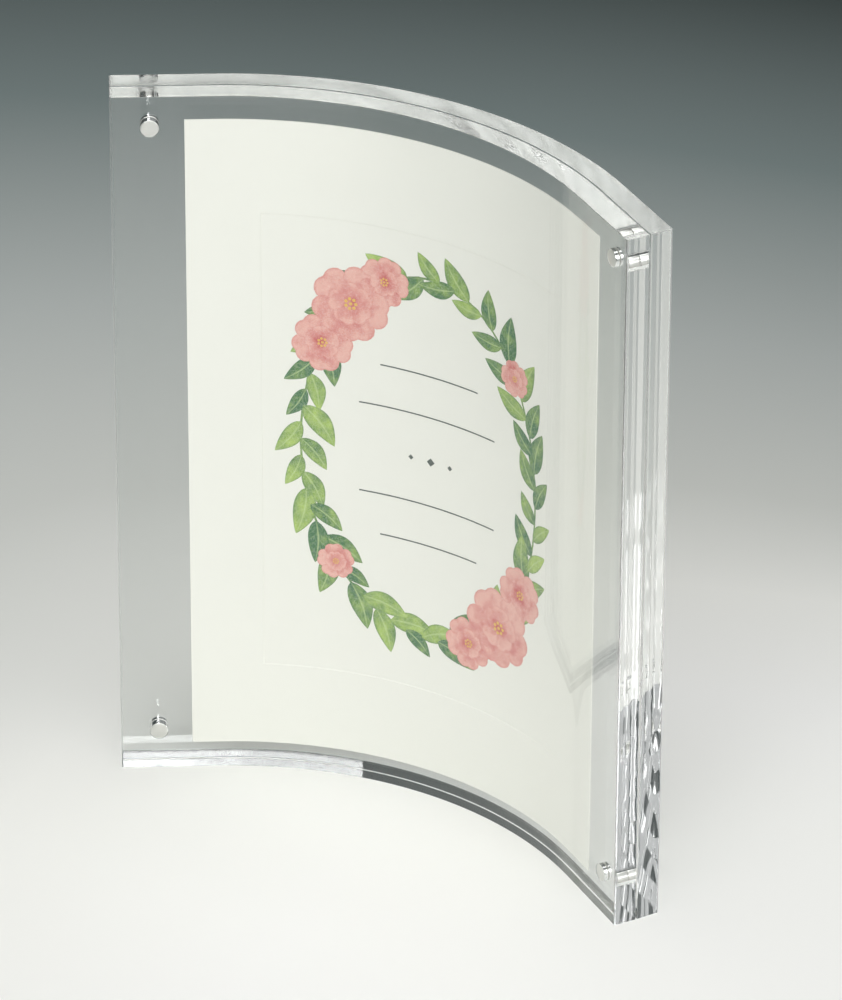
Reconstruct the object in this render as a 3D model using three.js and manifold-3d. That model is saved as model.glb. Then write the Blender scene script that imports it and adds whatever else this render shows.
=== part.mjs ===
// Curved acrylic sign holder: two clear bent panels, held together by corner magnets, with a card between.
// Millimetres, +Z up, the concave side faces -Y. The origin is on the base, under the middle of the part.
import * as THREE from "three";
import { mergeVertices } from "three/addons/utils/BufferGeometryUtils.js";
import Module from "manifold-3d";

// Panels
const panelHeight = 198;
const panelThickness = 6;
const bendRadius = 96.5; // concave face of the front panel
const bendDegrees = 33; // from the middle of the bend to where each flat end starts
const flatEndLength = 26.25; // straight run past the bend, on each side
const edgeEase = 0.25; // chamfer along every polished edge

// Card
const cardWidth = 133.4; // along the bend
const cardHeight = 184.2;
const cardThickness = 0.3;
const cardRise = 5.2; // lower edge of the card above the base
const cardClearance = 0.2; // free space on each face of the card

// Magnets
const magnetDiameter = 4.75;
const frontMagnetLength = 3.1;
const rearMagnetLength = 1.6;
const magnetEase = 0.3; // rounded rim
const magnetFromEnd = 10; // axis to the end face of the panel
const magnetFromEdge = 10; // axis to the upper or lower edge of the panel
const pocketClearance = 0.2; // around a magnet and behind it

// Fineness of round surfaces
const bendSegments = 48;
const magnetSegments = 32;
const rimSegments = 2;
const weldDistance = 1e-3;

// Radii of the nested faces, counted from the bend centre outwards
const bendAngle = THREE.MathUtils.degToRad(bendDegrees);
const panelGap = cardThickness + 2 * cardClearance;
const frontPanelBack = bendRadius + panelThickness;
const cardFace = frontPanelBack + cardClearance;
const rearPanelFace = frontPanelBack + panelGap;
const rearPanelBack = rearPanelFace + panelThickness;

// A point in plan on the straight run that follows a bend: its distance past the bend, and its radius.
function straightPoint(side, past, radius, angle) {
  const x = radius * Math.sin(angle) + past * Math.cos(angle);
  const y = radius * Math.cos(angle) - past * Math.sin(angle);
  return new THREE.Vector2(side * x, y);
}

// Plan of a sheet that follows the bend: an arc between two straight ends, with eased corners.
function bentPlan(innerRadius, thickness, angle, straight, ease) {
  const outerRadius = innerRadius + thickness;
  const eased = straight - ease;
  const leftBend = Math.PI / 2 + angle;
  const rightBend = Math.PI / 2 - angle;
  const rightEnd = [
    straightPoint(1, eased, innerRadius, angle),
    straightPoint(1, straight, innerRadius + ease, angle),
    straightPoint(1, straight, outerRadius - ease, angle),
    straightPoint(1, eased, outerRadius, angle),
  ];
  const leftEnd = [
    straightPoint(-1, eased, outerRadius, angle),
    straightPoint(-1, straight, outerRadius - ease, angle),
    straightPoint(-1, straight, innerRadius + ease, angle),
    straightPoint(-1, eased, innerRadius, angle),
  ];
  const plan = new THREE.Shape(leftEnd);
  plan.absarc(0, 0, innerRadius, leftBend, rightBend, true);
  rightEnd.forEach((point) => plan.lineTo(point.x, point.y));
  plan.absarc(0, 0, outerRadius, rightBend, leftBend, false);
  plan.closePath();
  return plan;
}

// A bent panel, raised from its plan with eased upper and lower edges.
function panelGeometry(innerRadius) {
  const plan = bentPlan(innerRadius, panelThickness, bendAngle, flatEndLength, edgeEase);
  const geometry = new THREE.ExtrudeGeometry(plan, {
    depth: panelHeight - 2 * edgeEase,
    curveSegments: bendSegments / 2,
    bevelEnabled: true,
    bevelSegments: 1,
    bevelThickness: edgeEase,
    bevelSize: edgeEase,
    bevelOffset: -edgeEase,
  });
  return geometry.translate(0, 0, edgeEase);
}

// The card is cut flat, so what the bend doesn't use of its width runs on along the flat ends.
function cardGeometry() {
  const middleRadius = cardFace + cardThickness / 2;
  const angle = Math.min(bendAngle, cardWidth / 2 / middleRadius);
  const straight = cardWidth / 2 - middleRadius * angle;
  return new THREE.ExtrudeGeometry(bentPlan(cardFace, cardThickness, angle, straight, 0), {
    depth: cardHeight,
    curveSegments: bendSegments / 2,
    bevelEnabled: false,
  });
}

// A disc magnet on the Y axis, from 0 to its length, with rounded rims.
function magnetGeometry(length) {
  const rimCentre = magnetDiameter / 2 - magnetEase;
  const profile = new THREE.Path();
  profile.moveTo(0, 0);
  profile.lineTo(rimCentre, 0);
  profile.absarc(rimCentre, magnetEase, magnetEase, -Math.PI / 2, 0, false);
  profile.absarc(rimCentre, length - magnetEase, magnetEase, 0, Math.PI / 2, false);
  profile.lineTo(0, length);
  return new THREE.LatheGeometry(profile.getPoints(rimSegments / 2), magnetSegments);
}

// The cutter for a blind pocket whose mouth is at Y = 0. It stands out of the mouth by half the slot.
function pocketGeometry(length) {
  const radius = magnetDiameter / 2 + pocketClearance;
  const depth = length + pocketClearance;
  const standOut = panelGap / 2;
  const geometry = new THREE.CylinderGeometry(radius, radius, depth + standOut, magnetSegments);
  return geometry.translate(0, (standOut - depth) / 2, 0);
}

// The four corners that hold a magnet in each panel
const corners = [];
for (const [sideName, side] of [["left", -1], ["right", 1]]) {
  for (const [levelName, height] of [["bottom", magnetFromEdge], ["top", panelHeight - magnetFromEdge]]) {
    corners.push({ name: `${levelName}_${sideName}`, side, height });
  }
}

// A group at a corner, on the face of that radius, whose Y axis points outwards through the panel.
function cornerGroup(corner, radius) {
  const group = new THREE.Group();
  const place = straightPoint(corner.side, flatEndLength - magnetFromEnd, radius, bendAngle);
  group.position.set(place.x, place.y, corner.height);
  group.rotation.z = -corner.side * bendAngle;
  return group;
}

const wasm = await Module();
wasm.setup();

function toSolid(geometry) {
  const bare = geometry.clone();
  bare.deleteAttribute("normal");
  bare.deleteAttribute("uv");
  const welded = mergeVertices(bare, weldDistance);
  const mesh = new wasm.Mesh({
    numProp: 3,
    vertProperties: welded.attributes.position.array,
    triVerts: new Uint32Array(welded.index.array),
  });
  return new wasm.Manifold(mesh);
}

function toGeometry(solid) {
  const mesh = solid.getMesh();
  const geometry = new THREE.BufferGeometry();
  geometry.setAttribute("position", new THREE.BufferAttribute(mesh.vertProperties, 3));
  geometry.setIndex(new THREE.BufferAttribute(mesh.triVerts, 1));
  geometry.computeVertexNormals();
  return geometry;
}

// A panel with a blind pocket at each corner for a magnet of that length, cut into the face that its
// partner lies against.
function drilledPanel(innerRadius, mouthRadius, length) {
  const mouthIsInside = mouthRadius === innerRadius;
  let solid = toSolid(panelGeometry(innerRadius));
  for (const corner of corners) {
    const seat = cornerGroup(corner, mouthRadius);
    if (mouthIsInside) seat.rotateX(Math.PI);
    seat.updateMatrix();
    solid = solid.subtract(toSolid(pocketGeometry(length).applyMatrix4(seat.matrix)));
  }
  return toGeometry(solid);
}

function clearAcrylic() {
  return new THREE.MeshStandardMaterial({
    color: 0xeef3f1,
    roughness: 0.04,
    metalness: 0,
    transparent: true,
    opacity: 0.3,
  });
}

function brightNickel() {
  return new THREE.MeshStandardMaterial({ color: 0xd9d8d2, roughness: 0.22, metalness: 1 });
}

function ivoryCard() {
  return new THREE.MeshStandardMaterial({ color: 0xf2efe2, roughness: 0.85, metalness: 0 });
}

function namedMesh(name, geometry, material) {
  const mesh = new THREE.Mesh(geometry, material);
  mesh.name = name;
  return mesh;
}

// Everything is drawn about the bend centre. This inner group moves the middle of the depth to the origin.
const holder = new THREE.Group();
const aboutBend = new THREE.Group();
const foremost = straightPoint(1, flatEndLength - edgeEase, bendRadius, bendAngle);
aboutBend.position.y = -(foremost.y + rearPanelBack) / 2;
holder.add(aboutBend);

const frontPanel = drilledPanel(bendRadius, frontPanelBack, frontMagnetLength);
const rearPanel = drilledPanel(rearPanelFace, rearPanelFace, rearMagnetLength);
aboutBend.add(namedMesh("front_panel", frontPanel, clearAcrylic()));
aboutBend.add(namedMesh("rear_panel", rearPanel, clearAcrylic()));

const card = namedMesh("insert_card", cardGeometry(), ivoryCard());
card.position.z = cardRise;
aboutBend.add(card);

for (const corner of corners) {
  const frontSeat = cornerGroup(corner, frontPanelBack - frontMagnetLength);
  const frontMagnet = magnetGeometry(frontMagnetLength);
  frontSeat.add(namedMesh(`front_magnet_${corner.name}`, frontMagnet, brightNickel()));
  const rearSeat = cornerGroup(corner, rearPanelFace);
  const rearMagnet = magnetGeometry(rearMagnetLength);
  rearSeat.add(namedMesh(`rear_magnet_${corner.name}`, rearMagnet, brightNickel()));
  aboutBend.add(frontSeat, rearSeat);
}

export default holder;
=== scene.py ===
import bmesh
import bpy
import math
from mathutils import Matrix, Vector


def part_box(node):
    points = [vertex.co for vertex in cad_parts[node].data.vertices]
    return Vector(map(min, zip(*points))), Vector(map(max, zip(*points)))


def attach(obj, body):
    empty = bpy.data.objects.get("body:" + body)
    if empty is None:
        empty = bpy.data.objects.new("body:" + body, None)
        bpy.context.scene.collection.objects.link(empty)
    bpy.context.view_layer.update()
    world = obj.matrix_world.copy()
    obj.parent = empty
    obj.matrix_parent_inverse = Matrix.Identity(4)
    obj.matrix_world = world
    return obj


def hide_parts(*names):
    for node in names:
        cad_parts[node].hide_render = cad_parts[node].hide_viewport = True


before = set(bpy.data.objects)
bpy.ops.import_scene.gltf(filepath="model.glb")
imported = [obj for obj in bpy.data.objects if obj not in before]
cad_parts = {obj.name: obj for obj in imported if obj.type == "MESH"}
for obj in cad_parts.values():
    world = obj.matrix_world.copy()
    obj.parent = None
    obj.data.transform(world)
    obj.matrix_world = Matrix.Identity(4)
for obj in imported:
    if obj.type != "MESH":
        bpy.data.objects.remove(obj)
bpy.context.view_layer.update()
scene = bpy.context.scene
scene.view_settings.view_transform = "Standard"
print("frame loaded:", len(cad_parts), "CAD nodes")

# The bend that both panels and the card follow, in metres as everywhere below
bend = {
    "radius": 0.0965,  # concave face of the front panel
    "halfAngle": math.radians(33),
    "flatEnd": 0.02625,  # straight run past the bend, on each side
    "steps": 240,
}
panel = {
    "thickness": 0.006,
    "slotSide": 0.00013,  # more on the side of the slot, which draws it close around the card
    "ease": 0.00007,  # rounding of the polished edges
    "endEase": 0.00036,  # and of the upright edges on the sides away from the slot
    "easeSteps": 2,
    "crown": 0.00005,  # fall of the buffed upper edges from their middle to their sides
    "lowerCrown": 0.0000175,  # and rise of the lower ones
    "crownSteps": 12,
    "rearLean": 0.055,  # slope of the rear panel's sawn lower edge, up towards the back
    "squareFrom": math.radians(60),  # edges that turn by more are rounded
    "sharpFrom": math.radians(12),  # edges that turn by more are shaded as sharp
    "edgeFrom": 0.8,  # a face that looks up or down by this share is an upper or lower edge
    "endFrom": 0.98,  # and one that looks outwards by this share is an end face
    "height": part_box("rear_panel")[1].z,
}
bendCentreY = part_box("front_panel")[1].y - bend["radius"] - panel["thickness"]
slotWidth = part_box("rear_panel")[1].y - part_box("front_panel")[1].y - panel["thickness"]
sheetThickness = panel["thickness"] + panel["slotSide"]
rearFaceRadius = bend["radius"] + panel["thickness"] + slotWidth - panel["slotSide"]


# Node helpers, for geometry trees and shader trees alike

def feed(tree, value, socket):
    if isinstance(value, bpy.types.NodeSocket):
        tree.links.new(value, socket)
    else:
        socket.default_value = value


def calc(tree, operation, *values):
    node = tree.nodes.new("ShaderNodeMath")
    node.operation = operation
    for value, socket in zip(values, node.inputs):
        feed(tree, value, socket)
    return node.outputs[0]


def addNode(tree, kind, **inputs):
    node = tree.nodes.new(kind)
    for name, value in inputs.items():
        feed(tree, value, node.inputs[name.replace("_", " ")])
    return node


def newGeometryTree(name, inputs):
    tree = bpy.data.node_groups.new(name, "GeometryNodeTree")
    tree.interface.new_socket("Geometry", in_out="INPUT", socket_type="NodeSocketGeometry")
    for label, kind in inputs:
        tree.interface.new_socket(label, in_out="INPUT", socket_type="NodeSocket" + kind)
    tree.interface.new_socket("Geometry", in_out="OUTPUT", socket_type="NodeSocketGeometry")
    return tree, tree.nodes.new("NodeGroupInput").outputs, tree.nodes.new("NodeGroupOutput").inputs


def addTree(obj, tree, **values):
    # sets the named inputs of a tree by their sockets' identifiers
    modifier = obj.modifiers.new(tree.name, "NODES")
    modifier.node_group = tree
    for item in tree.interface.items_tree:
        key = item.name[0].lower() + item.name[1:].replace(" ", "")
        if item.in_out == "INPUT" and key in values:
            modifier[item.identifier] = values[key]


bendInputs = [("Radius", "Float"), ("Half Angle", "Float"), ("Centre Y", "Float"), ("Material", "Material")]


def bendValues(radius, material):
    return {"radius": radius, "halfAngle": bend["halfAngle"], "centreY": bendCentreY, "material": material}


def makeBendTree():
    # X runs along the flat blank, Y is the depth behind its reference face, Z stays
    tree, given, result = newGeometryTree("bendBlank", bendInputs)
    position = tree.nodes.new("GeometryNodeInputPosition").outputs[0]
    run, depth, height = addNode(tree, "ShaderNodeSeparateXYZ", Vector=position).outputs
    limit = calc(tree, "MULTIPLY", given["Radius"], given["Half Angle"])
    onBend = calc(tree, "MINIMUM", run, limit)
    onBend = calc(tree, "MAXIMUM", onBend, calc(tree, "MULTIPLY", limit, -1))
    past = calc(tree, "SUBTRACT", run, onBend)
    angle = calc(tree, "DIVIDE", onBend, given["Radius"])
    reach = calc(tree, "ADD", given["Radius"], depth)
    sine = calc(tree, "SINE", angle)
    cosine = calc(tree, "COSINE", angle)
    x = calc(tree, "ADD", calc(tree, "MULTIPLY", reach, sine), calc(tree, "MULTIPLY", past, cosine))
    ahead = calc(tree, "MULTIPLY", reach, cosine)
    ahead = calc(tree, "SUBTRACT", ahead, calc(tree, "MULTIPLY", past, sine))
    y = calc(tree, "ADD", given["Centre Y"], ahead)
    bent = addNode(tree, "ShaderNodeCombineXYZ", X=x, Y=y, Z=height).outputs[0]
    whole = addNode(tree, "GeometryNodeRealizeInstances", Geometry=given["Geometry"]).outputs[0]
    moved = addNode(tree, "GeometryNodeSetPosition", Geometry=whole, Position=bent).outputs[0]
    painted = addNode(tree, "GeometryNodeSetMaterial", Geometry=moved, Material=given["Material"])
    feed(tree, painted.outputs[0], result["Geometry"])
    return tree


bendTree = makeBendTree()


def endInBend(tree, given, geometry, result):
    node = tree.nodes.new("GeometryNodeGroup")
    node.node_tree = bendTree
    feed(tree, geometry, node.inputs["Geometry"])
    for label, kind in bendInputs:
        feed(tree, given[label], node.inputs[label])
    feed(tree, node.outputs[0], result["Geometry"])


def readAttribute(tree, name, kind):
    node = addNode(tree, "GeometryNodeInputNamedAttribute", Name=name)
    node.data_type = kind
    return node.outputs["Attribute"]


def makePlaceTree():
    # copies an object to each point, turned about Y and sized by the point's own attributes
    tree, given, result = newGeometryTree("placeCopies", [("Copy", "Object")] + bendInputs)
    source = addNode(tree, "GeometryNodeObjectInfo", Object=given["Copy"]).outputs["Geometry"]
    euler = addNode(tree, "ShaderNodeCombineXYZ", Y=readAttribute(tree, "turn", "FLOAT")).outputs[0]
    rotation = addNode(tree, "FunctionNodeEulerToRotation", Euler=euler).outputs[0]
    placed = addNode(tree, "GeometryNodeInstanceOnPoints", Points=given["Geometry"], Instance=source)
    feed(tree, rotation, placed.inputs["Rotation"])
    feed(tree, readAttribute(tree, "size", "FLOAT_VECTOR"), placed.inputs["Scale"])
    endInBend(tree, given, placed.outputs[0], result)
    return tree


placeTree = makePlaceTree()


# Mesh helpers

def newPiece(name, bm):
    mesh = bpy.data.meshes.new(name)
    bm.to_mesh(mesh)
    bm.free()
    obj = bpy.data.objects.new(name, mesh)
    scene.collection.objects.link(obj)
    return obj


def placeCopies(name, copy, rows, radius, material):
    # each row: the place on the flat blank, the turn, the size along X, Y and Z, and the tone
    bm = bmesh.new()
    turnLayer = bm.verts.layers.float.new("turn")
    sizeLayer = bm.verts.layers.float_vector.new("size")
    toneLayer = bm.verts.layers.float.new("tone")
    for place, turn, size, tone in rows:
        vert = bm.verts.new(place)
        vert[turnLayer] = turn
        vert[sizeLayer] = size
        vert[toneLayer] = tone
    obj = newPiece(name, bm)
    addTree(obj, placeTree, copy=copy, **bendValues(radius, material))
    return obj


def settle(obj, sharpAngle):
    # the evaluated result becomes the object's own plain mesh
    bpy.context.view_layer.update()
    evaluated = obj.evaluated_get(bpy.context.evaluated_depsgraph_get())
    mesh = bpy.data.meshes.new_from_object(evaluated)
    obj.modifiers.clear()
    obj.data = mesh
    mesh.shade_smooth()
    mesh.set_sharp_from_angle(angle=sharpAngle)
    return obj


def sliceAcross(bm, axis, places):
    normal = Vector([float(i == axis) for i in range(3)])
    for place in places:
        everything = bm.verts[:] + bm.edges[:] + bm.faces[:]
        bmesh.ops.bisect_plane(bm, geom=everything, plane_co=normal * place, plane_no=normal)


def flatBlank(halfLength, thickness, height, cutsX):
    # a box from Y = 0 to its thickness and from Z = 0 up, sliced where it will bend
    bm = bmesh.new()
    bmesh.ops.create_cube(bm, size=1)
    for vert in bm.verts:
        vert.co = (2 * halfLength * vert.co.x, thickness * (vert.co.y + 0.5), height * (vert.co.z + 0.5))
    sliceAcross(bm, 0, cutsX)
    return bm


def squareEdges(bm):
    return [edge for edge in bm.edges if edge.calc_face_angle() > panel["squareFrom"]]


def roundEdges(bm, edges, offset, steps):
    bmesh.ops.bevel(bm, geom=edges, offset=offset, segments=steps, profile=0.5, affect="EDGES")


def bendCuts(radius):
    # one slice more on each side keeps the flat ends flat
    step = 2 * bend["halfAngle"] / bend["steps"]
    return [radius * (i * step - bend["halfAngle"]) for i in range(-1, bend["steps"] + 2)]


# Materials

def newMaterial(name):
    material = bpy.data.materials.new(name)
    material.use_nodes = True
    tree = material.node_tree
    return material, tree, tree.nodes["Principled BSDF"]


def readMark(tree, name):
    node = tree.nodes.new("ShaderNodeAttribute")
    node.attribute_name = name
    return node.outputs["Fac"]


def mixColour(tree, factor, first, second):
    node = tree.nodes.new("ShaderNodeMix")
    node.data_type = "RGBA"
    feed(tree, factor, node.inputs["Factor"])
    feed(tree, first, node.inputs[6])
    feed(tree, second, node.inputs[7])
    return node.outputs[2]


acrylic = {
    "colour": (0.915, 0.924, 0.919, 1),
    "ior": 1.49,
    "lampTint": (0.935, 0.943, 0.939, 1),
    "guided": 0.5,  # share of the soft light on the floor under a lower edge that comes down the sheet
    "upperEdgeRoughness": 0.09,  # fine polishing lines on the upper edges
    "cornerRoughness": 0.3,  # the rounded upright corners are scraped, not buffed
}


def makeAcrylic():
    material, tree, shader = newMaterial("clearAcrylic")
    shader.inputs["Base Color"].default_value = acrylic["colour"]
    upper, lower, corner = (readMark(tree, name) for name in ("upperEdge", "lowerEdge", "roundCorner"))
    buffed = calc(tree, "MULTIPLY", upper, acrylic["upperEdgeRoughness"])
    scraped = calc(tree, "MULTIPLY", corner, acrylic["cornerRoughness"])
    feed(tree, calc(tree, "MAXIMUM", buffed, scraped), shader.inputs["Roughness"])
    shader.inputs["IOR"].default_value = acrylic["ior"]
    shader.inputs["Transmission Weight"].default_value = 1.0
    # lamps and soft light reach the card and the floor straight through, but light that the sheet guides
    # down to its lower edge brightens the floor there
    path = tree.nodes.new("ShaderNodeLightPath").outputs
    unguided = calc(tree, "SUBTRACT", 1.0, calc(tree, "MULTIPLY", lower, acrylic["guided"]))
    soft = calc(tree, "MULTIPLY", path["Is Diffuse Ray"], unguided)
    straight = calc(tree, "MAXIMUM", path["Is Shadow Ray"], soft)
    clear = addNode(tree, "ShaderNodeBsdfTransparent", Color=acrylic["lampTint"])
    mix = tree.nodes.new("ShaderNodeMixShader")
    feed(tree, straight, mix.inputs[0])
    feed(tree, shader.outputs[0], mix.inputs[1])
    feed(tree, clear.outputs[0], mix.inputs[2])
    feed(tree, mix.outputs[0], tree.nodes["Material Output"].inputs["Surface"])
    return material


grainDetail = 4.0


def makeGrainGroup():
    # a fine unevenness about 1, for the plating and for the paper
    tree = bpy.data.node_groups.new("fineGrain", "ShaderNodeTree")
    tree.interface.new_socket("Fineness", in_out="INPUT", socket_type="NodeSocketFloat")
    tree.interface.new_socket("Amount", in_out="INPUT", socket_type="NodeSocketFloat")
    tree.interface.new_socket("Grain", in_out="OUTPUT", socket_type="NodeSocketFloat")
    given = tree.nodes.new("NodeGroupInput").outputs
    place = tree.nodes.new("ShaderNodeTexCoord").outputs["Object"]
    noise = addNode(tree, "ShaderNodeTexNoise", Vector=place, Scale=given["Fineness"], Detail=grainDetail)
    swing = calc(tree, "MULTIPLY", calc(tree, "SUBTRACT", noise.outputs[0], 0.5), given["Amount"])
    feed(tree, calc(tree, "ADD", swing, 1.0), tree.nodes.new("NodeGroupOutput").inputs["Grain"])
    return tree


grainGroup = makeGrainGroup()


def addGrain(tree, fineness, amount):
    grain = tree.nodes.new("ShaderNodeGroup")
    grain.node_tree = grainGroup
    grain.inputs["Fineness"].default_value = fineness
    grain.inputs["Amount"].default_value = amount
    return grain.outputs["Grain"]


nickel = {"colour": (0.86, 0.85, 0.82, 1), "roughness": 0.36, "fineness": 1400.0, "unevenness": 0.5}


def makeNickel():
    material, tree, shader = newMaterial("nickelPlate")
    shader.inputs["Base Color"].default_value = nickel["colour"]
    shader.inputs["Metallic"].default_value = 1.0
    grain = addGrain(tree, nickel["fineness"], nickel["unevenness"])
    feed(tree, calc(tree, "MULTIPLY", grain, nickel["roughness"]), shader.inputs["Roughness"])
    return material


cardStock = {
    "colour": (0.885, 0.873, 0.812, 1),
    "shade": (0.76, 0.745, 0.675, 1),
    "roughness": 0.8,
    "clouding": 42.0,  # slow changes of tone in the stock
    "cloudAmount": 0.35,
    "fibre": 2600.0,
    "fibreAmount": 1.0,
    "fibreShare": 0.12,  # of the fibres in the tone
    "tooth": 0.00002,  # height of the paper's grain
}


def makeCardStock():
    material, tree, shader = newMaterial("ivoryCard")
    cloud = calc(tree, "SUBTRACT", addGrain(tree, cardStock["clouding"], cardStock["cloudAmount"]), 1.0)
    fibre = addGrain(tree, cardStock["fibre"], cardStock["fibreAmount"])
    fleck = calc(tree, "MULTIPLY", calc(tree, "SUBTRACT", fibre, 1.0), cardStock["fibreShare"])
    tone = mixColour(tree, calc(tree, "ADD", cloud, fleck), cardStock["colour"], cardStock["shade"])
    feed(tree, tone, shader.inputs["Base Color"])
    shader.inputs["Roughness"].default_value = cardStock["roughness"]
    bump = addNode(tree, "ShaderNodeBump", Height=fibre, Distance=cardStock["tooth"])
    feed(tree, bump.outputs[0], shader.inputs["Normal"])
    return material


wash = {
    "pools": 330.0,
    "poolDetail": 3.0,
    "poolSwing": 1.6,  # how far the pools shift the blend of the two colours
    "rimShare": 0.5,
    "paper": 2600.0,
    "paperDetail": 2.0,
    "bareFrom": 0.45,  # height of the paper's grain from which it shows
    "bareShare": 0.8,
    "roughness": 0.8,
    "specular": 0.2,
}


def makeWashGroup():
    # watercolour: a pale and a deep colour run together, pool at the rim and leave some paper bare
    tree = bpy.data.node_groups.new("colourWash", "ShaderNodeTree")
    for label, kind in [("Pale", "Color"), ("Deep", "Color"), ("Depth", "Float"), ("Rim", "Float")]:
        tree.interface.new_socket(label, in_out="INPUT", socket_type="NodeSocket" + kind)
    tree.interface.new_socket("Colour", in_out="OUTPUT", socket_type="NodeSocketColor")
    given = tree.nodes.new("NodeGroupInput").outputs
    place = tree.nodes.new("ShaderNodeTexCoord").outputs["Object"]
    pools, grain = (
        addNode(tree, "ShaderNodeTexNoise", Vector=place, Scale=scale, Detail=detail).outputs[0]
        for scale, detail in [(wash["pools"], wash["poolDetail"]), (wash["paper"], wash["paperDetail"])]
    )
    shift = calc(tree, "MULTIPLY", calc(tree, "SUBTRACT", pools, 0.5), wash["poolSwing"])
    amount = calc(tree, "ADD", given["Depth"], shift)
    blend = mixColour(tree, amount, given["Pale"], given["Deep"])
    rim = mixColour(tree, calc(tree, "MULTIPLY", given["Rim"], wash["rimShare"]), blend, given["Deep"])
    bare = calc(tree, "MAXIMUM", calc(tree, "SUBTRACT", grain, wash["bareFrom"]), 0.0)
    bare = calc(tree, "MULTIPLY", bare, wash["bareShare"])
    result = mixColour(tree, bare, rim, cardStock["colour"])
    feed(tree, result, tree.nodes.new("NodeGroupOutput").inputs["Colour"])
    return tree


def smoothStep(tree, value, low, high):
    node = addNode(tree, "ShaderNodeMapRange", Value=value, From_Min=low, From_Max=high)
    node.interpolation_type = "SMOOTHSTEP"
    return node.outputs[0]


def inkUv(tree):
    # along from 0 to 1, and the distance from the middle line from 0 to 1
    place = tree.nodes.new("ShaderNodeUVMap")
    place.uv_map = "UVMap"
    along, across = addNode(tree, "ShaderNodeSeparateXYZ", Vector=place.outputs[0]).outputs[:2]
    fromMiddle = calc(tree, "ABSOLUTE", calc(tree, "SUBTRACT", calc(tree, "MULTIPLY", across, 2.0), 1.0))
    return along, fromMiddle, readMark(tree, "tone")


def addWash(tree, shader, pale, deep, depth, rim):
    node = tree.nodes.new("ShaderNodeGroup")
    node.node_tree = washGroup
    for name, value in [("Pale", pale), ("Deep", deep), ("Depth", depth), ("Rim", rim)]:
        feed(tree, value, node.inputs[name])
    feed(tree, node.outputs[0], shader.inputs["Base Color"])
    shader.inputs["Roughness"].default_value = wash["roughness"]
    shader.inputs["Specular IOR Level"].default_value = wash["specular"]
    return node.outputs[0]


ink = {
    "leafPale": (0.42, 0.58, 0.12, 1),
    "leafDeep": (0.032, 0.15, 0.05, 1),
    "leafRib": (0.56, 0.68, 0.34, 1),
    "petalPale": (0.84, 0.45, 0.39, 1),
    "petalDeep": (0.60, 0.10, 0.10, 1),
    "dot": (0.80, 0.50, 0.10, 1),
    "rule": (0.075, 0.095, 0.085, 1),
}


leafInk = {
    "rimFrom": 0.72,
    "depth": 0.35,
    "toneDepth": 0.75,
    "tipFade": -0.25,
    "ribFrom": 0.03,  # half width of the pale middle rib
    "ribTo": 0.14,  # and of its soft edge
    "sideRibs": 7.0,
    "sideSlant": 1.5,
    "sideRibTo": 0.1,
    "sideRibShare": 0.45,
    "ribShare": 0.55,
}


def makeLeafInk():
    material, tree, shader = newMaterial("leafInk")
    along, fromMiddle, tone = inkUv(tree)
    rim = smoothStep(tree, fromMiddle, leafInk["rimFrom"], 1.0)
    fade = calc(tree, "MULTIPLY", along, leafInk["tipFade"])
    depth = calc(tree, "ADD", calc(tree, "MULTIPLY", tone, leafInk["toneDepth"]), fade)
    depth = calc(tree, "ADD", depth, leafInk["depth"])
    # pale ribs: one in the middle and slanted ones to each side
    middle = calc(tree, "SUBTRACT", 1.0, smoothStep(tree, fromMiddle, leafInk["ribFrom"], leafInk["ribTo"]))
    slant = calc(tree, "MULTIPLY", along, leafInk["sideRibs"])
    slant = calc(tree, "SUBTRACT", slant, calc(tree, "MULTIPLY", fromMiddle, leafInk["sideSlant"]))
    stripe = calc(tree, "PINGPONG", slant, 0.5)
    sideRib = calc(tree, "SUBTRACT", 1.0, smoothStep(tree, stripe, 0.0, leafInk["sideRibTo"]))
    sideRib = calc(tree, "MULTIPLY", sideRib, leafInk["sideRibShare"])
    rib = calc(tree, "MULTIPLY", calc(tree, "MAXIMUM", middle, sideRib), leafInk["ribShare"])
    washed = addWash(tree, shader, ink["leafPale"], ink["leafDeep"], depth, rim)
    feed(tree, mixColour(tree, rib, washed, ink["leafRib"]), shader.inputs["Base Color"])
    return material


petalInk = {
    "rimFrom": 0.75,
    "tipFrom": 0.9,
    "rimShare": 0.7,
    "depth": 0.05,
    "toneDepth": 0.35,
    "fadeTo": 0.75,  # place along the petal where the deep colour of its root has gone
    "fadeDepth": 0.9,
}


def makePetalInk():
    material, tree, shader = newMaterial("petalInk")
    along, fromMiddle, tone = inkUv(tree)
    tip = smoothStep(tree, along, petalInk["tipFrom"], 1.0)
    rim = calc(tree, "MAXIMUM", smoothStep(tree, fromMiddle, petalInk["rimFrom"], 1.0), tip)
    rim = calc(tree, "MULTIPLY", rim, petalInk["rimShare"])
    fade = calc(tree, "MULTIPLY", calc(tree, "SUBTRACT", petalInk["fadeTo"], along), petalInk["fadeDepth"])
    depth = calc(tree, "ADD", fade, calc(tree, "MULTIPLY", tone, petalInk["toneDepth"]))
    depth = calc(tree, "ADD", depth, petalInk["depth"])
    addWash(tree, shader, ink["petalPale"], ink["petalDeep"], depth, rim)
    return material


def makePlainInk(name, colour):
    material, tree, shader = newMaterial(name)
    shader.inputs["Base Color"].default_value = colour
    shader.inputs["Roughness"].default_value = wash["roughness"]
    return material


washGroup = makeWashGroup()
acrylicMaterial = makeAcrylic()
nickelMaterial = makeNickel()
cardMaterial = makeCardStock()
leafMaterial = makeLeafInk()
petalMaterial = makePetalInk()
dotMaterial = makePlainInk("dotInk", ink["dot"])
ruleMaterial = makePlainInk("ruleInk", ink["rule"])
print("materials made")


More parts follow.
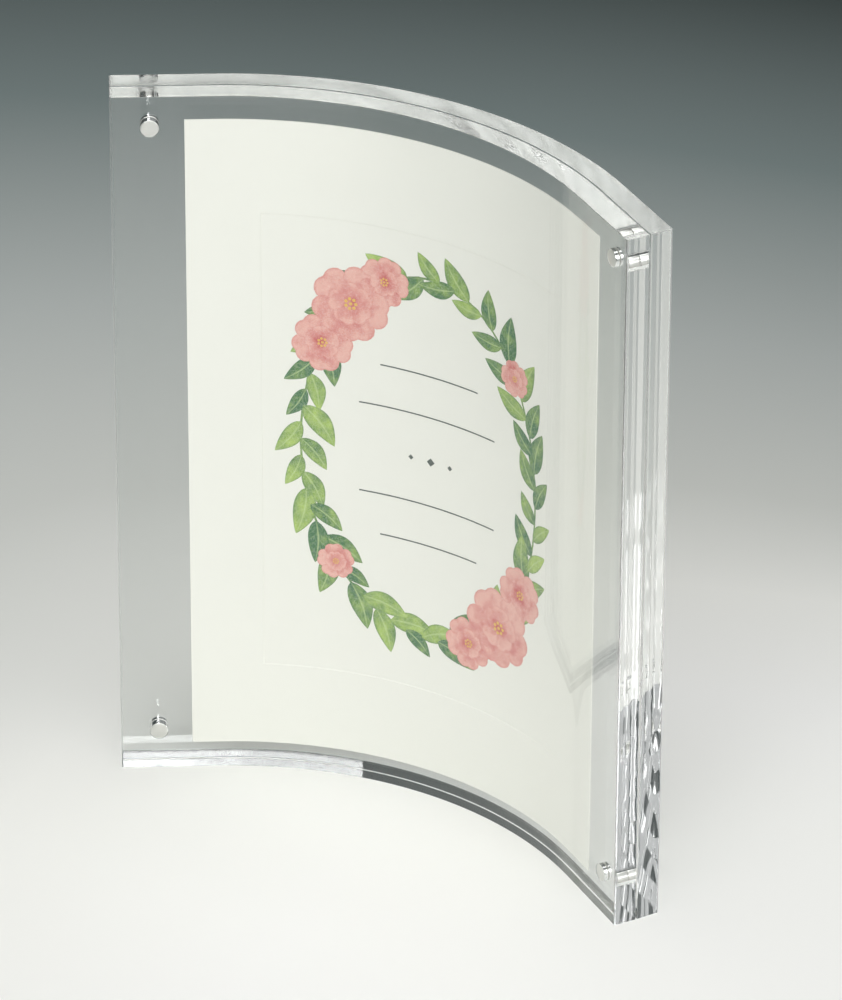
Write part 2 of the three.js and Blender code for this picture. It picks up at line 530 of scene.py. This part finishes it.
# Magnets: four rounded discs in each panel, flush with the slot and bedded closely in their pockets
magnet = {
    "radius": 0.002375,
    "frontLength": 0.0031,
    "rearLength": 0.0016,
    "rim": 0.0003,
    "rimSteps": 4,
    "sides": 64,
    "fromEnd": 0.010,
    "fromEdge": 0.010,
    "bedding": 0.00003,
    "sharpFrom": math.radians(40),
}


def magnetPlaces(radius):
    run = radius * bend["halfAngle"] + bend["flatEnd"] - magnet["fromEnd"]
    heights = (magnet["fromEdge"], panel["height"] - magnet["fromEdge"])
    return [(side * run, height) for side in (-1, 1) for height in heights]


def addDisc(bm, radius, length, x, y, z):
    # a closed cylinder along Y, starting at that point
    turn = Matrix.Translation((x, y + length / 2, z)) @ Matrix.Rotation(math.pi / 2, 4, "X")
    size = {"segments": magnet["sides"], "radius1": radius, "radius2": radius, "depth": length}
    return bmesh.ops.create_cone(bm, cap_ends=True, cap_tris=False, matrix=turn, **size)["verts"]


def makeDisc(length):
    bm = bmesh.new()
    addDisc(bm, magnet["radius"], length, 0, 0, 0)
    roundEdges(bm, squareEdges(bm), magnet["rim"], magnet["rimSteps"])
    return newPiece("magnet_disc", bm)


def makeMagnets(name, radius, depth, length):
    rows = [((x, depth, z), 0, (1, 1, 1), 0) for x, z in magnetPlaces(radius)]
    disc = makeDisc(length)
    magnets = placeCopies(name, disc, rows, radius, nickelMaterial)
    settle(magnets, magnet["sharpFrom"])
    bpy.data.objects.remove(disc)
    return magnets


# Panels: a flat blank with rounded edges and blind pockets, then bent

def markFaces(obj, name, isMarked):
    marks = obj.data.attributes.new(name, "FLOAT", "FACE")
    for face in obj.data.polygons:
        marks.data[face.index].value = float(isMarked(face))


def isRoundCorner(face):
    # past the flat part of an end, but not the end face itself
    side = math.copysign(1, face.center.x)
    outwards = Vector((side * math.cos(bend["halfAngle"]), -math.sin(bend["halfAngle"]), 0))
    past = (face.center - Vector((0, bendCentreY, 0))).dot(outwards)
    return past > bend["flatEnd"] - panel["endEase"] and face.normal.dot(outwards) < panel["endFrom"]


def isFreeCorner(edge, freeSide):
    # an upright edge on the side away from the other panel
    start, end = (vert.co for vert in edge.verts)
    return abs(start.z - end.z) > panel["ease"] and abs(start.y - freeSide) < panel["ease"]


def makePanel(name, radius, magnetLength, mouthAtBack, lean):
    halfLength = radius * bend["halfAngle"] + bend["flatEnd"]
    bm = flatBlank(halfLength, sheetThickness, panel["height"], bendCuts(radius))
    freeSide = 0 if mouthAtBack else sheetThickness
    free = [edge for edge in squareEdges(bm) if isFreeCorner(edge, freeSide)]
    roundEdges(bm, free, panel["endEase"], panel["easeSteps"])
    roundEdges(bm, squareEdges(bm), panel["ease"], panel["easeSteps"])
    sliceAcross(bm, 1, [sheetThickness * i / panel["crownSteps"] for i in range(1, panel["crownSteps"])])
    for vert in bm.verts:
        bow = (2 * vert.co.y / sheetThickness - 1) ** 2
        if vert.co.z > panel["height"] / 2:
            vert.co.z -= panel["crown"] * bow
        else:
            vert.co.z += panel["lowerCrown"] * bow + lean * vert.co.y
    blank = newPiece(name, bm)
    depth = magnetLength + magnet["bedding"]
    start = sheetThickness - depth if mouthAtBack else -depth
    cutters = bmesh.new()
    for x, z in magnetPlaces(radius):
        addDisc(cutters, magnet["radius"] + magnet["bedding"], 2 * depth, x, start, z)
    drill = newPiece(name + "_drill", cutters)
    cut = blank.modifiers.new("pockets", "BOOLEAN")
    cut.object = drill
    cut.solver = "EXACT"
    addTree(blank, bendTree, **bendValues(radius, acrylicMaterial))
    settle(blank, panel["sharpFrom"])
    bpy.data.objects.remove(drill)
    markFaces(blank, "upperEdge", lambda face: face.normal.z > panel["edgeFrom"])
    markFaces(blank, "lowerEdge", lambda face: face.normal.z < -panel["edgeFrom"])
    markFaces(blank, "roundCorner", isRoundCorner)
    return blank


frontPanel = makePanel("front_panel_clear", bend["radius"], magnet["frontLength"], True, 0.0)
rearPanel = makePanel("rear_panel_clear", rearFaceRadius, magnet["rearLength"], False, panel["rearLean"])
print("panels bent:", [len(p.data.polygons) for p in (frontPanel, rearPanel)], "faces")

frontMagnetDepth = sheetThickness - magnet["frontLength"]
frontMagnets = makeMagnets("front_magnets", bend["radius"], frontMagnetDepth, magnet["frontLength"])
rearMagnets = makeMagnets("rear_magnets", rearFaceRadius, 0, magnet["rearLength"])
print("magnets set")


# Card: a thin sheet in the slot, with a shallow pressed panel in its face
card = {
    "width": 0.1334,
    "thickness": 0.0003,
    "bottom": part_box("insert_card")[0].z,
    "top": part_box("insert_card")[1].z,
    "pressHalfWidth": 0.0475,
    "pressTop": 0.0265,  # below the card's upper edge
    "pressBottom": 0.024,  # above its lower edge
    "pressSlope": 0.00025,
    "pressDepth": 0.00013,
    "sharpFrom": math.radians(5),
}
cardRadius = bend["radius"] + panel["thickness"] + slotWidth / 2
printRadius = cardRadius - card["thickness"] / 2 + card["pressDepth"]


def makeCard():
    outerX = card["pressHalfWidth"]
    innerX = outerX - card["pressSlope"]
    outerZ = (card["pressBottom"], card["top"] - card["bottom"] - card["pressTop"])
    innerZ = (outerZ[0] + card["pressSlope"], outerZ[1] - card["pressSlope"])
    cutsX = bendCuts(cardRadius) + [-outerX, -innerX, innerX, outerX]
    bm = flatBlank(card["width"] / 2, card["thickness"], card["top"] - card["bottom"], cutsX)
    sliceAcross(bm, 2, outerZ + innerZ)
    margin = card["pressSlope"] / 4
    for vert in bm.verts:
        inside = abs(vert.co.x) < innerX + margin and innerZ[0] - margin < vert.co.z < innerZ[1] + margin
        if inside and vert.co.y < margin:
            vert.co.y += card["pressDepth"]
        vert.co += Vector((0, -card["thickness"] / 2, card["bottom"]))
    sheet = newPiece("card_sheet", bm)
    addTree(sheet, bendTree, **bendValues(cardRadius, cardMaterial))
    return settle(sheet, card["sharpFrom"])


cardSheet = makeCard()
print("card made")


# Print: a plain wreath of leaves and blossoms, thin layers on the card's face, X and Z on the flat card
inkSheet = 0.000006  # thickness of a layer of ink
inkSharp = math.radians(30)
goldenShare = 0.6180339887  # for an even scatter
wreath = {
    "halfWidth": 0.037,
    "halfHeight": 0.053,
    "centreZ": 0.098,
    "leafLength": 0.0125,
    "leafWidth": 0.0056,
    "leafSkew": 0.8,  # sets the widest part of a leaf towards its stem
    "leafFullness": 0.85,
    "leafLeast": 0.012,  # share of the width that is left at the ends
    "leafSway": 0.06,  # bow of the middle rib, as a share of the length
    "leafGrid": (14, 6),
    "leaves": 58,
    "splay": math.radians(34),
    "splayRange": (0.6, 1.4),
    "sizeRange": (0.75, 1.15),
    "layer": 0.000007,
    "levels": 5.0,  # neighbours lie in different layers
    "firstLevel": 2.0,
    "vineLevel": 1.2,
    "vineWidth": 0.0006,
    "ringSteps": 120,
}
blossom = {
    "radius": 0.0085,
    "petals": 5,
    "halfAngle": math.radians(41),
    "innerSize": 0.58,
    "outerDepth": 0.00006,
    "innerDepth": 0.0001,
    "dotDepth": 0.000135,
    "petalStep": 0.000007,
    # place around the wreath in degrees, and size
    "places": [
        (112, 0.85), (129, 1.3), (147, 1.0), (290, 0.9),
        (309, 1.35), (328, 0.95), (40, 0.62), (222, 0.62),
    ],
    "dotRing": 0.0011,
    "dotRadius": 0.00035,
    "ringDots": 7,
    "shoulder": 0.30,  # how far the rim of a petal falls to its sides
    "notch": 0.07,  # and in its middle
    "notchWidth": 0.16,
    "root": 0.04,  # share of the radius where a petal starts
    "rootAngle": 0.75,  # share of its angle there
    "petalGrid": (8, 12),
}
rules = {
    "height": 0.0004,
    "grid": (30, 1),
    "depth": 0.00002,
    # height above the wreath's centre, and length
    "rows": [(0.025, 0.030), (0.013, 0.042), (-0.013, 0.042), (-0.025, 0.030)],
    # place to the side of the centre, and length of a side
    "diamonds": [(-0.006, 0.0011), (0, 0.0017), (0.006, 0.0011)],
}


def makeSheet(name, outline, along, across):
    # a closed thin sheet: outline(u, v) gives X and Z, u from 0 to 1 along it and v from -1 to 1 across
    bm = bmesh.new()
    uvLayer = bm.loops.layers.uv.new("UVMap")
    grid = {}
    for i in range(along + 1):
        for j in range(across + 1):
            u, v = i / along, 2 * j / across - 1
            x, z = outline(u, v)
            for side, depth in enumerate((-inkSheet, 0)):
                grid[i, j, side] = bm.verts.new((x, depth, z))
    places = {vert: (i / along, j / across) for (i, j, side), vert in grid.items()}
    for i in range(along):
        for j in range(across):
            corners = [(i, j), (i, j + 1), (i + 1, j + 1), (i + 1, j)]
            for side in (0, 1):
                bm.faces.new([grid[a, b, side] for a, b in corners])
    rim = [(i, 0) for i in range(along)] + [(along, j) for j in range(across)]
    rim += [(i, across) for i in range(along, 0, -1)] + [(0, j) for j in range(across, 0, -1)]
    for (a, b), (c, d) in zip(rim, rim[1:] + rim[:1]):
        bm.faces.new([grid[a, b, 0], grid[c, d, 0], grid[c, d, 1], grid[a, b, 1]])
    bmesh.ops.recalc_face_normals(bm, faces=bm.faces)
    for face in bm.faces:
        for loop in face.loops:
            loop[uvLayer].uv = places[loop.vert]
    return newPiece(name, bm)


def leafOutline(u, v):
    swell = math.sin(math.pi * u ** wreath["leafSkew"]) ** wreath["leafFullness"]
    half = wreath["leafWidth"] / 2 * (swell + wreath["leafLeast"])
    sway = wreath["leafSway"] * math.sin(math.pi * u)
    return wreath["leafLength"] * u, half * v + wreath["leafLength"] * sway


def petalOutline(u, v):
    notch = blossom["notch"] * math.exp(-((v / blossom["notchWidth"]) ** 2))
    rim = 1 - blossom["shoulder"] * v ** 4 - notch
    reach = blossom["radius"] * rim * (blossom["root"] + (1 - blossom["root"]) * u)
    angle = blossom["halfAngle"] * v * (blossom["rootAngle"] + (1 - blossom["rootAngle"]) * u)
    return reach * math.cos(angle), reach * math.sin(angle)


def ruleOutline(u, v):
    return u - 0.5, rules["height"] / 2 * v


def makeWreathTree():
    inputs = [("Leaf", "Object"), ("Leaves", "Int"), ("Half Width", "Float"), ("Half Height", "Float")]
    inputs += [("Centre Z", "Float"), ("Splay", "Float"), ("Layer", "Float"), ("Vine Width", "Float")]
    tree, given, result = newGeometryTree("leafWreath", inputs + bendInputs)
    ring = addNode(tree, "GeometryNodeCurvePrimitiveCircle", Resolution=wreath["ringSteps"], Radius=1.0)
    halves = addNode(tree, "ShaderNodeCombineXYZ", X=given["Half Width"], Y=given["Half Height"], Z=1.0)
    lift = addNode(tree, "ShaderNodeCombineXYZ", Z=given["Centre Z"])
    upright = (math.pi / 2, 0, 0)
    oval = addNode(tree, "GeometryNodeTransform", Geometry=ring.outputs["Curve"], Rotation=upright)
    feed(tree, lift.outputs[0], oval.inputs["Translation"])
    feed(tree, halves.outputs[0], oval.inputs["Scale"])
    points = addNode(tree, "GeometryNodeCurveToPoints", Curve=oval.outputs[0], Count=given["Leaves"])
    index = tree.nodes.new("GeometryNodeInputIndex").outputs[0]

    def chance(low, high, seed):
        node = addNode(tree, "FunctionNodeRandomValue", ID=index, Seed=seed)
        feed(tree, low, node.inputs[2])
        feed(tree, high, node.inputs[3])
        return node.outputs[1]

    # leaves point along the vine, to one side and the other in turn
    tangent = addNode(tree, "ShaderNodeSeparateXYZ", Vector=points.outputs["Tangent"]).outputs
    heading = calc(tree, "ARCTAN2", tangent["Z"], tangent["X"])
    side = calc(tree, "SUBTRACT", calc(tree, "MULTIPLY", calc(tree, "MODULO", index, 2.0), 2.0), 1.0)
    splay = calc(tree, "MULTIPLY", given["Splay"], chance(*wreath["splayRange"], 1))
    splay = calc(tree, "MULTIPLY", side, splay)
    turn = calc(tree, "MULTIPLY", calc(tree, "ADD", heading, splay), -1.0)
    euler = addNode(tree, "ShaderNodeCombineXYZ", Y=turn).outputs[0]
    rotation = addNode(tree, "FunctionNodeEulerToRotation", Euler=euler).outputs[0]
    scale = chance(*wreath["sizeRange"], 2)
    size = addNode(tree, "ShaderNodeCombineXYZ", X=scale, Y=1.0, Z=scale).outputs[0]
    level = calc(tree, "ADD", calc(tree, "MODULO", index, wreath["levels"]), wreath["firstLevel"])
    depth = calc(tree, "MULTIPLY", calc(tree, "MULTIPLY", level, given["Layer"]), -1.0)
    shift = addNode(tree, "ShaderNodeCombineXYZ", Y=depth).outputs[0]
    layered = addNode(tree, "GeometryNodeSetPosition", Geometry=points.outputs["Points"], Offset=shift)
    source = addNode(tree, "GeometryNodeObjectInfo", Object=given["Leaf"]).outputs["Geometry"]
    placed = addNode(tree, "GeometryNodeInstanceOnPoints", Points=layered.outputs[0], Instance=source)
    feed(tree, rotation, placed.inputs["Rotation"])
    feed(tree, size, placed.inputs["Scale"])
    toned = addNode(tree, "GeometryNodeStoreNamedAttribute", Geometry=placed.outputs[0], Name="tone")
    toned.domain = "INSTANCE"
    feed(tree, chance(0.0, 1.0, 3), toned.inputs["Value"])
    # the vine is a flat band along the same oval
    band = addNode(tree, "GeometryNodeCurvePrimitiveQuadrilateral", Width=given["Vine Width"])
    feed(tree, given["Layer"], band.inputs["Height"])
    vine = addNode(tree, "GeometryNodeCurveToMesh", Curve=oval.outputs[0], Profile_Curve=band.outputs[0])
    lifted = calc(tree, "MULTIPLY", given["Layer"], -wreath["vineLevel"])
    raised = addNode(tree, "ShaderNodeCombineXYZ", Y=lifted).outputs[0]
    vine = addNode(tree, "GeometryNodeSetPosition", Geometry=vine.outputs[0], Offset=raised).outputs[0]
    both = tree.nodes.new("GeometryNodeJoinGeometry")
    feed(tree, toned.outputs[0], both.inputs[0])
    feed(tree, vine, both.inputs[0])
    endInBend(tree, given, both.outputs[0], result)
    return tree


def spread(number):
    # a fixed scatter between 0 and 1 for a counted thing
    return (number * goldenShare) % 1


def makeLeaves():
    leaf = makeSheet("leaf", leafOutline, *wreath["leafGrid"])
    leaves = newPiece("print_leaves", bmesh.new())
    keys = ("leaves", "halfWidth", "halfHeight", "centreZ", "splay", "layer", "vineWidth")
    values = {key: wreath[key] for key in keys}
    addTree(leaves, makeWreathTree(), leaf=leaf, **values, **bendValues(printRadius, leafMaterial))
    settle(leaves, inkSharp)
    bpy.data.objects.remove(leaf)
    return leaves


def blossomPlaces():
    for number, (degrees, size) in enumerate(blossom["places"]):
        angle = math.radians(degrees)
        x = wreath["halfWidth"] * math.cos(angle)
        z = wreath["centreZ"] + wreath["halfHeight"] * math.sin(angle)
        yield number, x, z, size


def makePetals():
    rows = []
    for number, x, z, size in blossomPlaces():
        outer = (size, blossom["outerDepth"], 0)
        inner = (size * blossom["innerSize"], blossom["innerDepth"], 0.5)
        for scale, depth, shift in (outer, inner):
            for k in range(blossom["petals"]):
                turn = 2 * math.pi * (spread(number) + (k + shift) / blossom["petals"])
                place = (x, -depth - blossom["petalStep"] * (k % 3) - inkSheet * (number % 2), z)
                rows.append((place, turn, (scale, 1, scale), spread(7 * number + 3 * k + shift)))
    petal = makeSheet("petal", petalOutline, *blossom["petalGrid"])
    petals = placeCopies("print_petals", petal, rows, printRadius, petalMaterial)
    settle(petals, inkSharp)
    bpy.data.objects.remove(petal)
    return petals


def makeDots():
    rows = []
    for number, x, z, size in blossomPlaces():
        spots = [(0, 0)] + [(1, 2 * math.pi * k / blossom["ringDots"]) for k in range(blossom["ringDots"])]
        for reach, angle in spots:
            out = blossom["dotRing"] * reach * size
            place = (x + out * math.cos(angle), -blossom["dotDepth"], z + out * math.sin(angle))
            rows.append((place, 0, (size, 1, size), spread(angle)))
    bm = bmesh.new()
    addDisc(bm, blossom["dotRadius"], inkSheet, 0, -inkSheet, 0)
    dot = newPiece("dot", bm)
    dots = placeCopies("print_dots", dot, rows, printRadius, dotMaterial)
    settle(dots, inkSharp)
    bpy.data.objects.remove(dot)
    return dots


def makeRules():
    rows = []
    for z, length in rules["rows"]:
        rows.append(((0, -rules["depth"], wreath["centreZ"] + z), 0, (length, 1, 1), 0))
    for x, side in rules["diamonds"]:
        size = (side, 1, side / rules["height"])
        rows.append(((x, -rules["depth"], wreath["centreZ"]), math.pi / 4, size, 0))
    rule = makeSheet("rule", ruleOutline, *rules["grid"])
    lines = placeCopies("print_rules", rule, rows, printRadius, ruleMaterial)
    settle(lines, inkSharp)
    bpy.data.objects.remove(rule)
    return lines


printPieces = [makeLeaves(), makePetals(), makeDots(), makeRules()]
print("print laid on the card:", sum(len(p.data.polygons) for p in printPieces), "faces")


def nodesNamed(start):
    return [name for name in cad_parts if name.startswith(start)]


for piece, body, slot, nodes in [
    (frontPanel, "front_half", "clear_acrylic", ["front_panel"]),
    (rearPanel, "rear_half", "clear_acrylic", ["rear_panel"]),
    (frontMagnets, "front_half", "nickel_plate", nodesNamed("front_magnet")),
    (rearMagnets, "rear_half", "nickel_plate", nodesNamed("rear_magnet")),
    (cardSheet, "card", "ivory_card", ["insert_card"]),
]:
    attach(piece, body)
    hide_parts(*nodes)
for piece in printPieces:
    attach(piece, "card")


# Stage: a floor whose colour holds painted light, pale in a painted pool of light around the holder and
# falling off to painted shade in slate grey behind it, soft lamps, and the camera
camera = {
    "place": (0.86244, -1.45960, 1.06279),
    "turn": math.radians(30.4546),
    "tilt": math.radians(29.7733),  # looking down
    "roll": math.radians(0.2217),
    "focalPixels": 7630.0,  # in the 842 by 1000 picture
    "tallPixels": 1000.0,
    "sensor": 36.0,  # millimetres
    "clipStart": 0.01,
    "clipEnd": 50.0,
}
stage = {
    "floorHalf": 4.0,
    "floorDrop": 0.0003,  # the thin air gap under the polished lower edges
    # painted light: the middle of a pool of light painted into the floor's colour
    "brightSpot": (0.12, 0.04, 0),
    "fallTurn": math.radians(2),
    "sideStretch": 1.8,  # the painted pool of light runs on to the left and the right
    "frontStretch": 5.0,  # and towards the viewer
    # painted light and shade: the floor's colour by distance from that middle, pale in the painted pool of
    # light and slate grey in the painted shade beyond it
    "fall": [
        (0.0, (0.898, 0.903, 0.872, 1)),
        (0.07, (0.885, 0.888, 0.868, 1)),
        (0.12, (0.854, 0.859, 0.822, 1)),
        (0.17, (0.630, 0.647, 0.614, 1)),
        (0.25, (0.459, 0.491, 0.477, 1)),
        (0.36, (0.189, 0.232, 0.229, 1)),
        (0.48, (0.049, 0.062, 0.060, 1)),
    ],
    "floorRoughness": 0.9,
    "floorSpecular": 0.1,
    "slate": (0.050, 0.062, 0.062, 1),
    "aim": (0, 0, 0.09),
    "ambient": 0.06,
    "bounces": 64,  # guided light crosses a panel many times before it leaves
}
# name, place, width, height and power of the soft lamps, all turned to the holder, and if the acrylic
# shows them
lamps = [
    ("overhead", (0.1, 0.0, 1.9), 1.4, 1.4, 16, True),
    ("front", (0.403, -1.929, 1.24), 1.49, 0.28, 13.5, True),
    ("right", (1.7, -0.9, 1.0), 2.5, 2.0, 30, True),
    ("leftScreen", (-1.30, -1.16, 0.72), 3.0, 1.25, 4.8, True),
    ("lowFront", (-0.25, -1.85, 0.75), 1.2, 0.7, 10.5, False),
    ("back", (0.3, 1.9, 0.16), 1.6, 0.28, 10, False),
]


def makeFloor():
    bm = bmesh.new()
    bmesh.ops.create_grid(bm, x_segments=1, y_segments=1, size=stage["floorHalf"])
    floor = newPiece("floor", bm)
    floor.location.z = -stage["floorDrop"]
    material, tree, shader = newMaterial("paleFloor")
    place = tree.nodes.new("ShaderNodeTexCoord").outputs["Object"]
    mapping = addNode(tree, "ShaderNodeMapping", Vector=place)
    mapping.vector_type = "TEXTURE"
    mapping.inputs["Location"].default_value = stage["brightSpot"]
    mapping.inputs["Rotation"].default_value = (0, 0, stage["fallTurn"])
    mapping.inputs["Scale"].default_value = (stage["sideStretch"], 1, 1)
    side, depth = addNode(tree, "ShaderNodeSeparateXYZ", Vector=mapping.outputs[0]).outputs[:2]
    depth = calc(tree, "MAXIMUM", depth, calc(tree, "DIVIDE", depth, -stage["frontStretch"]))
    squares = calc(tree, "ADD", calc(tree, "POWER", side, 2.0), calc(tree, "POWER", depth, 2.0))
    reach = stage["fall"][-1][0]
    # painted light: the floor's colour falls from the painted pool of light to slate-grey painted shade
    ramp = addNode(tree, "ShaderNodeValToRGB", Fac=calc(tree, "DIVIDE", calc(tree, "SQRT", squares), reach))
    while len(ramp.color_ramp.elements) < len(stage["fall"]):
        ramp.color_ramp.elements.new(0.5)
    for element, (distance, colour) in zip(ramp.color_ramp.elements, stage["fall"]):
        element.position = distance / reach
        element.color = colour
    feed(tree, ramp.outputs["Color"], shader.inputs["Base Color"])
    shader.inputs["Roughness"].default_value = stage["floorRoughness"]
    shader.inputs["Specular IOR Level"].default_value = stage["floorSpecular"]
    floor.data.materials.append(material)


def makeWorld():
    world = bpy.data.worlds.new("studio")
    scene.world = world
    world.use_nodes = True
    tree = world.node_tree
    path = tree.nodes.new("ShaderNodeLightPath").outputs
    seen = calc(tree, "MAXIMUM", path["Is Camera Ray"], path["Is Glossy Ray"])
    seen = calc(tree, "MAXIMUM", seen, path["Is Transmission Ray"])
    soft = addNode(tree, "ShaderNodeBackground", Color=(1, 1, 1, 1), Strength=stage["ambient"])
    slate = addNode(tree, "ShaderNodeBackground", Color=stage["slate"], Strength=1.0)
    mix = tree.nodes.new("ShaderNodeMixShader")
    feed(tree, seen, mix.inputs[0])
    feed(tree, soft.outputs[0], mix.inputs[1])
    feed(tree, slate.outputs[0], mix.inputs[2])
    feed(tree, mix.outputs[0], tree.nodes["World Output"].inputs["Surface"])


def addLamp(name, place, width, height, power, shown):
    light = bpy.data.lights.new(name, "AREA")
    light.shape = "RECTANGLE"
    light.size = width
    light.size_y = height
    light.energy = power
    lamp = bpy.data.objects.new(name, light)
    lamp.location = place
    lamp.visible_camera = False
    lamp.visible_glossy = shown
    lamp.visible_transmission = shown
    lamp.rotation_mode = "QUATERNION"
    lamp.rotation_quaternion = (Vector(stage["aim"]) - Vector(place)).to_track_quat("-Z", "Y")
    scene.collection.objects.link(lamp)


def makeCamera():
    data = bpy.data.cameras.new("camera")
    data.sensor_width = camera["sensor"]
    data.lens = data.sensor_width * camera["focalPixels"] / camera["tallPixels"]
    data.clip_start = camera["clipStart"]
    data.clip_end = camera["clipEnd"]
    eye = bpy.data.objects.new("camera", data)
    heading = Matrix.Rotation(camera["turn"], 4, "Z")
    looking = Matrix.Rotation(math.pi / 2 - camera["tilt"], 4, "X")
    rolled = Matrix.Rotation(camera["roll"], 4, "Z")
    eye.matrix_world = Matrix.Translation(camera["place"]) @ heading @ looking @ rolled
    scene.collection.objects.link(eye)
    scene.camera = eye


makeFloor()
makeWorld()
for lamp in lamps:
    addLamp(*lamp)
makeCamera()
scene.cycles.max_bounces = stage["bounces"]
scene.cycles.glossy_bounces = stage["bounces"]
scene.cycles.transmission_bounces = stage["bounces"]
scene.cycles.transparent_max_bounces = stage["bounces"]
print("stage set")
